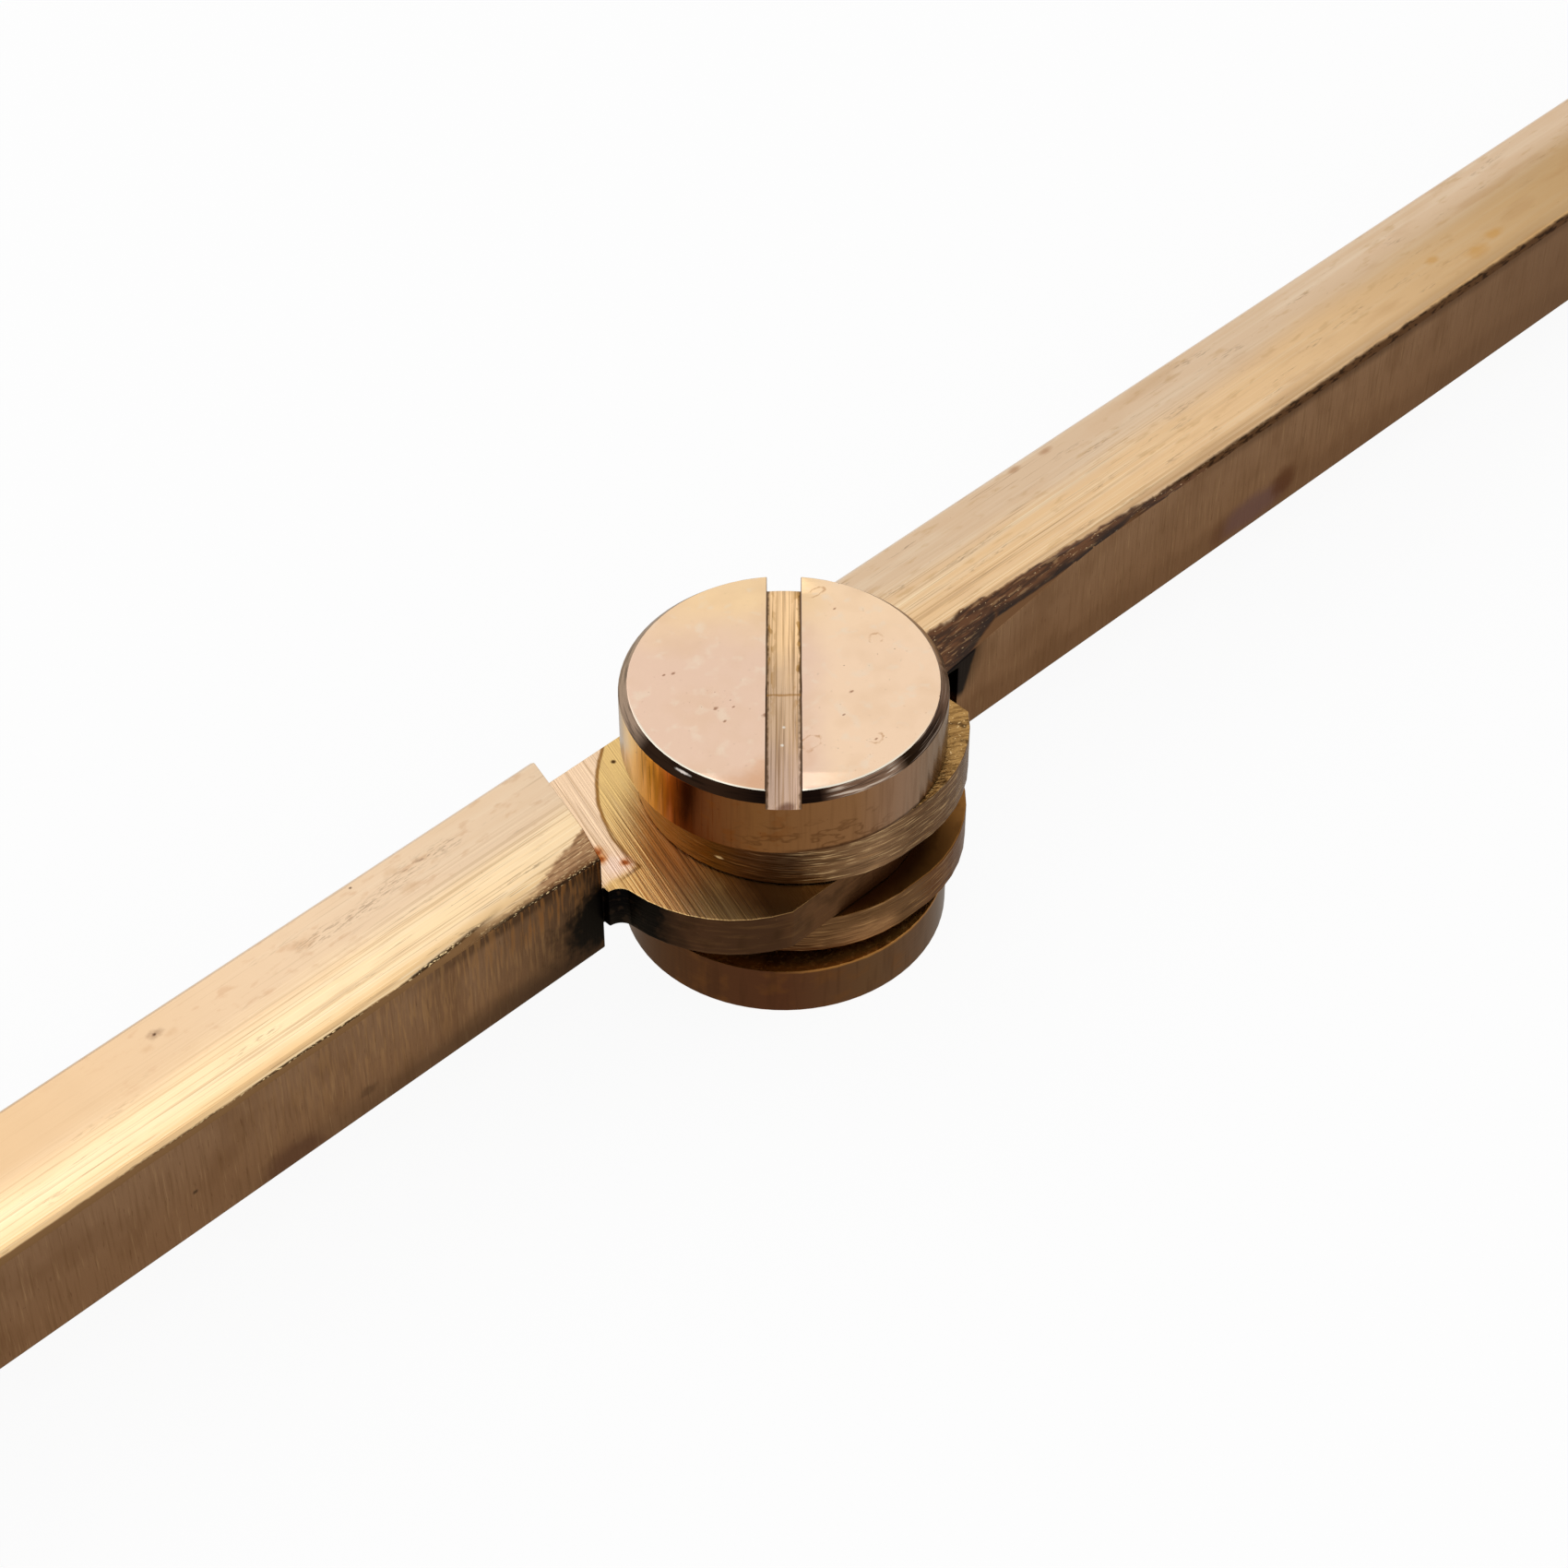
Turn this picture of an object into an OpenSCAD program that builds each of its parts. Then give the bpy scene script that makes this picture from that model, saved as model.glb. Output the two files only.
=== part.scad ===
// Straight brass divider, opened flat. Two square legs meet in a knuckle hinge: a tongue on one leg
// turns between the two lugs of the other. A barrel nut and a slotted screw hold the knuckle.
// Origin: centre of the barrel nut's flat underside, on the hinge axis. +Z up to the slotted head,
// +X along the forked leg. The tongue leg lies along -X and closes through -Y. Millimetres.

/* [Hinge screw] */
// Diameter of the slotted head
head_d = 12.8; // [11:0.1:14]
// Thickness of the slotted head
head_h = 2.95; // [2:0.05:4]
// Bevel round the edge of the head
head_bevel = 0.35; // [0.1:0.05:0.6]
// Width of the screwdriver slot
slot_w = 1.35; // [0.8:0.05:2]
// Depth of the screwdriver slot at the middle of the head
slot_depth = 0.85; // [0.4:0.05:1.4]
// Slope of the slot's floor, deeper towards the legs' outer faces
slot_slope = 2; // [0:0.5:3]
// Direction of the slot, turned from the forked leg
slot_turn = 45.5; // [0:0.5:180]
// Diameter of the threaded shank
screw_d = 4; // [3:0.1:4.4]
// Length of the shank below the head
screw_l = 6.8; // [4:0.1:7.2]

/* [Barrel nut] */
// Diameter of the round nut under the hinge
nut_d = 13.1; // [11:0.1:15]
// Thickness of the round nut
nut_h = 2.4; // [2:0.1:4]
// Bevel round the nut's lower edge
nut_bevel = 0.15; // [0.05:0.05:0.6]
// Diameter of the barrel that the legs turn on
barrel_d = 6; // [5.2:0.1:7]
// How far the barrel stops short of the head
barrel_short = 0.5; // [0.2:0.1:1]
// Depth of solid metal left under the threaded hole
nut_floor = 1.2; // [0.8:0.1:1.6]
// Outer diameter of the friction washer
washer_d = 9; // [7.6:0.1:11]
// Thickness of the friction washer
washer_t = 0.45; // [0.3:0.05:0.8]

/* [Knuckle] */
// Thickness of the upper lug
upper_lug_t = 2.2; // [1.5:0.05:3]
// Thickness of the lower lug
lower_lug_t = 1.75; // [1.2:0.05:2.5]
// Thickness of the tongue
tongue_t = 1.95; // [1.4:0.05:2.6]
// Diameter of the round lugs
lug_d = 12.7; // [11.4:0.1:13.5]
// How far the lugs' centre lies from the hinge axis, along the forked leg
lug_shift = 0.66; // [0:0.02:1]
// Diameter of the fuller round that blends the lugs into the forked leg
swell_d = 12.2; // [11:0.1:12.6]
// How far the fuller round's centre lies from the hinge axis, along the forked leg
swell_shift = 1.45; // [1:0.05:1.8]
// How far the fuller round's centre lies in front of the hinge axis
swell_front = 0.25; // [0:0.05:0.4]
// Width of the tongue where it turns in the fork
tongue_d = 10.9; // [9:0.1:11.5]
// Diameter of the round shoulder at the tongue's neck
neck_d = 11.74; // [11:0.02:12.4]
// How far the neck's centre lies from the hinge axis, along the tongue leg
neck_shift = 2.67; // [2:0.01:3]
// Radius of the sawn slot's root in the forked leg
slot_root_r = 9.5; // [9.4:0.1:12]
// Fillet between the lugs and the forked leg's inner face
lug_fillet = 0.8; // [0.4:0.1:1.2]
// How far the shoulder shows in front of the neck's fillet
neck_step = 0.35; // [0:0.05:0.5]
// Length of the tongue's flat back behind the hinge axis
tongue_back = 3; // [2.4:0.1:4]

/* [Legs] */
// Hinge axis to the brass end of each leg
leg_l = 142; // [100:1:180]
// Hinge axis to where the legs start to narrow
taper_from = 72; // [40:1:90]
// Width of the forked leg's bar
fork_bar_w = 6; // [5.4:0.1:6.6]
// Width of the tongue leg's bar
tongue_bar_w = 5.7; // [5.4:0.1:6.6]
// Height of the forked leg's bar
fork_bar_h = 5.8; // [5.4:0.1:6]
// Height of the tongue leg's bar
tongue_bar_h = 5.6; // [5.2:0.1:6]
// How far the upper lug stands above the bars' upper faces
lug_proud = 0.3; // [0:0.05:0.5]
// Width of a leg at its brass end
tip_w = 3.8; // [3.4:0.1:5]
// Height of a leg at its brass end
tip_h = 3.8; // [3.4:0.1:5]
// Bevel along the bars' long edges
edge_bevel = 0.3; // [0.1:0.05:0.5]
// Hinge axis to the tongue leg's shoulder, at its inner face
shoulder_x = 9.15; // [9.1:0.05:12]
// Slant of the shoulder, off square
shoulder_slant = 15; // [0:0.5:16]
// How far in front of the hinge axis the closed legs meet
meet_off = 0.5; // [0:0.05:0.6]
// Gap between the legs' inner faces when closed
meet_gap = 0.1; // [0.05:0.05:0.4]

/* [Filed flats] */
// Length of the flat filed on the forked leg's inner upper edge, from the lugs outwards
fork_flat_l = 10; // [5:1:16]
// Width of that flat on top, at the lugs
fork_flat_w = 1.05; // [0.3:0.05:1.5]
// Drop of that flat down the inner face, at the lugs
fork_flat_h = 1.65; // [0.3:0.05:1.8]
// Hinge axis to where that flat stops, under the head
fork_flat_stop = 6.2; // [5.6:0.1:6.6]
// Length of the flat filed on the tongue leg's inner upper edge, from the shoulder outwards
tongue_flat_l = 15; // [5:1:20]
// Width of that flat on top, at the shoulder
tongue_flat_w = 1.4; // [0.3:0.05:1.8]
// Drop of that flat down the inner face, at the shoulder
tongue_flat_h = 0.45; // [0.2:0.05:1]

/* [Steel points] */
// Length of steel beyond the brass
point_out = 28; // [15:1:40]
// Diameter of the steel where it leaves the brass
point_d = 3; // [2.4:0.1:3.2]
// Length of the steel before it starts to narrow
point_neck = 3; // [1:0.5:8]
// Diameter of the ground tip
point_tip_d = 0.2; // [0.1:0.05:0.5]
// Diameter of the shank inside the leg
shank_d = 2; // [1.6:0.1:2.2]
// Length of the shank inside the leg
shank_l = 12; // [8:0.5:16]
// Diameter of the cross pin that holds a point
pin_d = 0.8; // [0.6:0.1:1]
// Brass end to the cross pin
pin_back = 5.5; // [4:0.5:7]

/* [Clearances] */
// Gap between flat faces that turn on each other
slide_gap = 0.05; // [0.02:0.01:0.1]
// Radial gap where a round part turns in a bore
run_gap = 0.05; // [0.02:0.01:0.1]
// Radial gap round parts that are driven in and stay still
drive_gap = 0.02; // [0.01:0.01:0.05]

/* [Hidden] */
$fn = 96;
over = 1;
blind_gap = 0.4;

washer_z = nut_h;
fork_z0 = washer_z + washer_t;
slot_z0 = fork_z0 + lower_lug_t;
tongue_z0 = slot_z0 + slide_gap;
tongue_z1 = tongue_z0 + tongue_t;
slot_z1 = tongue_z1 + slide_gap;
fork_z1 = slot_z1 + upper_lug_t;
head_z0 = fork_z1 + slide_gap;
head_z1 = head_z0 + head_h;
bar_z1 = fork_z1 - lug_proud;
// Middle height of the brass ends and the steel points
tip_z = bar_z1 - (fork_bar_h + tongue_bar_h) / 4;

head_r = head_d / 2;
nut_r = nut_d / 2;
barrel_r = barrel_d / 2;
barrel_z1 = head_z0 - barrel_short;
lug_r = lug_d / 2;
swell_r = swell_d / 2;
tongue_r = tongue_d / 2;
neck_r = neck_d / 2;
point_r = point_d / 2;
shank_r = shank_d / 2;
tip_r = point_tip_d / 2;

// The neck's fillet runs out exactly at the shoulder
web_face = meet_off + meet_gap - neck_step;
neck_fillet = (pow(shoulder_x - neck_shift, 2) - pow(neck_r, 2) + pow(web_face, 2))
    / (2 * (neck_r + web_face));

// Inner faces of the two legs, opened flat
fork_in = -meet_off;
tongue_in = meet_off + meet_gap;
fork_out = fork_in + fork_bar_w;
tongue_out = tongue_in + tongue_bar_w;

// The steel leans towards the other leg, so that the two tips meet when the divider is closed
point_lean = atan((tip_w / 2 - tip_r) / point_out);
pin_share = pin_back / (leg_l - taper_from);

brass = "#c9a171";
pale_brass = "#d9b892";
steel = "#8d9196";
spring_bronze = "#a87443";

// Section of a bar w wide and h high with bevelled corners, its inner face on the Y axis's zero
module bar_section(w, h, c) {
    polygon([[0, -h / 2 + c], [c, -h / 2], [w - c, -h / 2], [w, -h / 2 + c],
             [w, h / 2 - c], [w - c, h / 2], [c, h / 2], [0, h / 2 - c]]);
}

// Straight length of bar from x0 to x1 with its middle at height z
module bar_run(x0, x1, z, w, h) {
    translate([x0, 0, z])
        rotate([90, 0, 90])
            linear_extrude(x1 - x0) bar_section(w, h, edge_bevel);
}

// One leg's bar along +X with its inner face at y = 0: straight, then narrowing to the brass end
module leg_bar(x0, w, h) {
    z = bar_z1 - h / 2;
    bar_run(x0, taper_from, z, w, h);
    hull() {
        bar_run(taper_from - edge_bevel, taper_from, z, w, h);
        bar_run(leg_l, leg_l + edge_bevel, tip_z, tip_w, tip_h);
    }
}

// Places its children at the brass end of a leg whose inner face is at y = 0, along the leaning steel
module at_tip() {
    translate([leg_l, tip_w / 2, tip_z])
        rotate([0, 90, -point_lean]) children();
}

// What the steel point and its pin take out of a leg's end
module tip_cuts() {
    at_tip() translate([0, 0, -shank_l - blind_gap])
        cylinder(r = shank_r + drive_gap, h = shank_l + blind_gap + over);
    at_tip() translate([0, 0, over]) cube([2 * tip_h, 2 * tip_w, 2 * over], center = true);
    at_pin() cylinder(d = pin_d + 2 * drive_gap, h = 2 * tip_h, center = true);
}

// Places its children at the cross pin of a leg whose inner face is at y = 0
module at_pin() {
    translate([leg_l - pin_back, tip_w / 2 + pin_back * tan(point_lean), tip_z]) children();
}

// Cross pin through a leg of height h, flush with its two faces
module cross_pin(h) {
    rise = (bar_z1 - h / 2 - tip_z) * pin_share;
    at_pin() translate([0, 0, rise])
        cylinder(d = pin_d, h = tip_h + (h - tip_h) * pin_share, center = true);
}

// A flat filed along an upper edge, from x = stop outwards and above z = floor: a plane that leaves
// the edge at x = from and reaches w across the top and h down the inner face a run of l nearer
module filed_flat(from, l, w, h, stop, floor) {
    n = [-w * h, -l * h, l * w];
    intersection() {
        translate([from, 0, bar_z1]) rotate([0, acos(n.z / norm(n)), atan2(n.y, n.x)])
            translate([0, 0, l / 2]) cube([4 * l, 4 * l, l], center = true);
        translate([stop, -2 * l, floor]) cube([2 * l, 4 * l, 2 * l]);
    }
}

// Web that fills the corner between a round of radius r at c and a straight face at y = face
module corner_web(c, r, face, fillet) {
    reach = r + fillet;
    fy = face - fillet;
    fx = c.x + sqrt(pow(reach, 2) - pow(fy - c.y, 2));
    touch = c + ([fx, fy] - c) * r / reach;
    difference() {
        polygon([c, touch, [fx, fy], [fx, face], [fx, face + fillet]]);
        translate([fx, fy]) circle(fillet);
    }
}

module fork_lug_outline() {
    intersection() {
        union() {
            translate([lug_shift, 0]) circle(lug_r);
            translate([swell_shift, -swell_front]) circle(swell_r);
            corner_web([swell_shift, -swell_front], swell_r, fork_in, lug_fillet);
        }
        translate([-lug_d, -lug_d]) square([2 * lug_d, lug_d + fork_out]);
    }
}

module fork_leg() {
    color(brass) difference() {
        union() {
            translate([0, fork_in, 0]) leg_bar(lug_shift, fork_bar_w, fork_bar_h);
            translate([0, 0, fork_z0]) linear_extrude(fork_z1 - fork_z0) fork_lug_outline();
        }
        translate([0, 0, fork_z0 - fork_bar_h]) cylinder(r = slot_root_r, h = fork_bar_h);
        translate([0, 0, slot_z0]) cylinder(r = slot_root_r, h = slot_z1 - slot_z0);
        cylinder(r = barrel_r + run_gap, h = fork_z1 + over);
        translate([0, fork_in, 0]) tip_cuts();
        translate([0, fork_in, 0])
            filed_flat(slot_root_r + fork_flat_l, fork_flat_l, fork_flat_w, fork_flat_h,
                       fork_flat_stop, slot_z1);
    }
}

module tongue_outline() {
    back = tongue_out;
    reach = norm([tongue_back, back]);
    turn = atan2(back, -tongue_back) - acos(tongue_r / reach);
    circle(tongue_r);
    polygon([[0, tongue_in], [-shoulder_x - over, tongue_in], [-shoulder_x - over, back],
             [-tongue_back, back], [tongue_r * cos(turn), tongue_r * sin(turn)]]);
    intersection() {
        translate([-neck_shift, 0]) circle(neck_r);
        translate([-neck_shift - neck_r, -tongue_r]) square([neck_shift + neck_r, tongue_r + back]);
    }
    mirror([1, 0]) corner_web([neck_shift, 0], neck_r, web_face, neck_fillet);
}

module tongue_leg() {
    color(brass) difference() {
        union() {
            difference() {
                mirror([1, 0, 0]) translate([0, tongue_in, 0])
                    leg_bar(neck_shift, tongue_bar_w, tongue_bar_h);
                translate([-shoulder_x, tongue_in, 0]) rotate([0, 0, -shoulder_slant])
                    translate([0, -tongue_bar_w, 0])
                        cube([2 * shoulder_x, 4 * tongue_bar_w, bar_z1 + over]);
            }
            translate([0, 0, tongue_z0]) linear_extrude(tongue_t) tongue_outline();
        }
        translate([0, 0, tongue_z0 - over])
            cylinder(r = barrel_r + run_gap, h = tongue_t + 2 * over);
        mirror([1, 0, 0]) translate([0, tongue_in, 0]) tip_cuts();
        mirror([1, 0, 0]) translate([0, tongue_in, 0])
            filed_flat(shoulder_x + tongue_flat_l, tongue_flat_l, tongue_flat_w, tongue_flat_h,
                       shoulder_x / 2, tongue_z1);
    }
}

module pivot_screw() {
    color(pale_brass) difference() {
        rotate_extrude() polygon([
            [0, head_z0 - screw_l], [screw_d / 2 - head_bevel, head_z0 - screw_l],
            [screw_d / 2, head_z0 - screw_l + head_bevel], [screw_d / 2, head_z0],
            [head_r, head_z0], [head_r, head_z1 - head_bevel],
            [head_r - head_bevel, head_z1], [0, head_z1]]);
        rotate([0, 0, slot_turn]) translate([0, -slot_w / 2, head_z1 - slot_depth])
            rotate([0, slot_slope, 0]) translate([-head_d, 0, 0])
                cube([2 * head_d, slot_w, head_h]);
    }
}

module barrel_nut() {
    color(pale_brass) difference() {
        rotate_extrude() polygon([
            [0, 0], [nut_r - nut_bevel, 0], [nut_r, nut_bevel], [nut_r, nut_h],
            [barrel_r, nut_h], [barrel_r, barrel_z1 - nut_bevel],
            [barrel_r - nut_bevel, barrel_z1], [0, barrel_z1]]);
        translate([0, 0, nut_floor])
            cylinder(d = screw_d + 2 * run_gap, h = barrel_z1);
    }
}

module friction_washer() {
    color(spring_bronze) translate([0, 0, washer_z]) difference() {
        cylinder(d = washer_d, h = washer_t);
        translate([0, 0, -over])
            cylinder(r = barrel_r + run_gap, h = washer_t + 2 * over);
    }
}

// A steel point with its shank, along the Z axis, brass end at zero
module steel_point() {
    difference() {
        rotate_extrude() polygon([
            [0, -shank_l], [shank_r - tip_r, -shank_l], [shank_r, -shank_l + tip_r],
            [shank_r, 0], [point_r, 0], [point_r, point_neck],
            [tip_r, point_out], [0, point_out]]);
        translate([0, 0, -pin_back / cos(point_lean)]) rotate([0, 90, 0])
            cylinder(d = pin_d + 2 * drive_gap, h = point_d + over, center = true);
    }
}

module fork_point() {
    color(steel) translate([0, fork_in, 0]) at_tip() steel_point();
}

module tongue_point() {
    color(steel) mirror([1, 0, 0]) translate([0, tongue_in, 0]) at_tip() steel_point();
}

module fork_point_pin() {
    color(brass) translate([0, fork_in, 0]) cross_pin(fork_bar_h);
}

module tongue_point_pin() {
    color(brass) mirror([1, 0, 0]) translate([0, tongue_in, 0]) cross_pin(tongue_bar_h);
}

fork_leg();
tongue_leg();
pivot_screw();
barrel_nut();
friction_washer();
fork_point();
tongue_point();
fork_point_pin();
tongue_point_pin();
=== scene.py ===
"""Straight brass chart divider, opened flat: the looks of every piece, in the CAD model's own frame."""

import math

import bpy
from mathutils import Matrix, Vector, noise


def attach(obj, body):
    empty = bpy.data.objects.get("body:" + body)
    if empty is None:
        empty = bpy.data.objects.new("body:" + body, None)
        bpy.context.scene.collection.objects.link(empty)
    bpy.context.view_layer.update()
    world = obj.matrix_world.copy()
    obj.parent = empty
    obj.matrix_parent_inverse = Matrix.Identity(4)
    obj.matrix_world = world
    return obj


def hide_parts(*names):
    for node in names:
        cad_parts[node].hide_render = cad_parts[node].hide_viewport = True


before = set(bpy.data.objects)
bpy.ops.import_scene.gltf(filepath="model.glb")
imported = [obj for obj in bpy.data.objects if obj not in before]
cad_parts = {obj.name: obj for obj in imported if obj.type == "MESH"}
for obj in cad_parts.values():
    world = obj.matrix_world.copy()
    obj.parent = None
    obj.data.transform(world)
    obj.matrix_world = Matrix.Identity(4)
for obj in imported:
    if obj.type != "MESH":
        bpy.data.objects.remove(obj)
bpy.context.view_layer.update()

MM = 0.001

# The camera, as fitted to the photograph
VIEW_AZIMUTH = -44.46
VIEW_ELEVATION = 44.80
VIEW_FROM = (-72.25, -73.64, 108.69)
LENS = 84.35
SENSOR = 36.0

# Sizes of the divider, in millimetres
HEAD_TOP = 11.85
HEAD_R = 6.4
BEVEL = 0.35
SLOT_TURN = 45.5
SLOT_HALF = 0.675
TONGUE_TOP = 6.6
LOWER_LUG_TOP = 4.6
UPPER_LUG_UNDER = 6.65
LEG_TOP = 8.55
NUT_TOP = 2.4
FORK_INNER = -0.5
TONGUE_INNER = 0.6
SLOT_ROOT = 9.5
SHOULDER = 9.15
TAPER_FROM = 72
LEG_END = 142
TIP_TOP = 7.6

# The tongue leg's filed triangle: where it ends, and its depth at the shoulder
TRIANGLE_END = -24.15
TRIANGLE_DEPTH = 0.45

# Where the forked leg's round lugs end, and where its bar begins beside them
LUGS_TO_X = 8.4
LUGS_TO_Y = 5.3
BAR_FROM_X = 6.2
BAR_FROM_Y = 5

# Where the tongue's flat ends
TONGUE_TO_X = 10

# Rounding of the edges, which the solids leave sharp
LEG_ROUNDING = 0.06
NUT_ROUNDING = 0.04
SMALL_ROUNDING = 0.03

# Points closer than this are one, and faces within so many degrees of each other are one flat face
WELD = 0.001
FLAT_WITHIN = 0.05

# An edge is rounded when its faces meet at more degrees than this
SHARP_FROM = 25

# The stretch of each leg that is cut into slices so that its edge can wear, and the slices' lengths
SLICED_FROM = 10
SLICED_TO = 60
LEG_SLICE = 0.5
HEAD_SLICE = 0.2

# Picks the pattern of that wear. The noise starts from the clock unless it is given a seed other than 0
WEAR_SEED = 1

# The stage: how much light the white world gives, and how white the camera sees the floor
WORLD_LIGHT = 0.8
FLOOR_WHITE = 0.93

# Direction that the photograph looks from, round the hinge's axis
# Colours laid round a piece from this direction are painted light and reflections, fixed to where the
# camera stood.
FACING = VIEW_AZIMUTH - 90

# What tarnish leaves of a metal's bright edge at a glancing look
TARNISHED_EDGE = "#D4CEC7"


# Selecting and shaping

def alone(piece):
    """Makes one piece the only selected and active one."""
    for other in bpy.context.selected_objects:
        other.select_set(False)
    piece.select_set(True)
    bpy.context.view_layer.objects.active = piece


def edit(piece):
    """Goes into edit mode with the whole piece selected."""
    alone(piece)
    bpy.ops.object.mode_set(mode="EDIT")
    bpy.ops.mesh.select_all(action="SELECT")


def leave_edit():
    """Goes back to object mode."""
    bpy.ops.object.mode_set(mode="OBJECT")


def apply(piece, kind, **settings):
    """Adds one modifier and applies it."""
    modifier = piece.modifiers.new(kind.lower(), kind)
    for name, value in settings.items():
        setattr(modifier, name, value)
    alone(piece)
    bpy.ops.object.modifier_apply(modifier=modifier.name)


def merged_copy(node, name):
    """A welded copy of a CAD node's mesh, its flat faces whole again."""
    piece = bpy.data.objects.new(name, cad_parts[node].data.copy())
    piece.data.name = name
    bpy.context.scene.collection.objects.link(piece)
    piece.data.materials.clear()
    alone(piece)
    if piece.data.has_custom_normals:
        bpy.ops.mesh.customdata_custom_splitnormals_clear()
    edit(piece)
    bpy.ops.mesh.remove_doubles(threshold=WELD * MM)
    bpy.ops.mesh.dissolve_limited(angle_limit=math.radians(FLAT_WITHIN))
    leave_edit()
    return piece


def slice_up(piece, direction, start, end, step):
    """Cuts a piece across at even steps, so that its long edges can take wear."""
    edit(piece)
    along = Vector(direction)
    for i in range(int((end - start) / step) + 1):
        bpy.ops.mesh.select_all(action="SELECT")
        bpy.ops.mesh.bisect(plane_co=along * (start + i * step) * MM, plane_no=along)
    leave_edit()


def round_edges(piece, width, steps=2):
    """Rounds the sharp edges, width in millimetres."""
    apply(piece, "BEVEL", width=width * MM, segments=steps, limit_method="ANGLE",
          angle_limit=math.radians(SHARP_FROM), use_clamp_overlap=False)


def wear_crease(piece, inner, depth=0.022, patch=0.9, near=0.4):
    """Makes a leg's inner upper edge uneven, as old filed brass is. All sizes in millimetres."""
    noise.seed_set(WEAR_SEED)
    for v in piece.data.vertices:
        spot = v.co / MM
        if SLICED_FROM < abs(spot.x) < SLICED_TO and spot.z > LEG_TOP - near and spot.y < inner + near:
            push = noise.noise_vector(spot / patch) * depth
            v.co += Vector((0, push.y, -abs(push.z))) * MM


def settle(piece, smooth_angle=40):
    """Smooth shading that keeps the flat faces flat."""
    alone(piece)
    bpy.ops.object.shade_smooth_by_angle(angle=math.radians(smooth_angle))
    apply(piece, "WEIGHTED_NORMAL", keep_sharp=True, weight=80)


def clad(piece, materials, choose):
    """Gives each face the material that choose(middle, normal) names, the middle in millimetres."""
    names = list(materials)
    for name in names:
        piece.data.materials.append(materials[name])
    for face in piece.data.polygons:
        face.material_index = names.index(choose(face.center / MM, face.normal))


# Materials

def linear(code):
    """An sRGB hex value as a linear colour."""
    parts = [int(code[i:i + 2], 16) / 255 for i in (1, 3, 5)]
    return [c / 12.92 if c <= 0.04045 else ((c + 0.055) / 1.055) ** 2.4 for c in parts] + [1]


def add_node(tree, kind, inputs=None, **settings):
    """Adds one shader node with its settings, and its inputs' values or links."""
    made = tree.nodes.new("ShaderNode" + kind)
    for name, value in settings.items():
        setattr(made, name, value)
    for socket, value in (inputs or {}).items():
        if isinstance(value, bpy.types.Node):
            value = value.outputs[0]
        if isinstance(value, bpy.types.NodeSocket):
            tree.links.new(value, made.inputs[socket])
        else:
            made.inputs[socket].default_value = value
    return made


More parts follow.
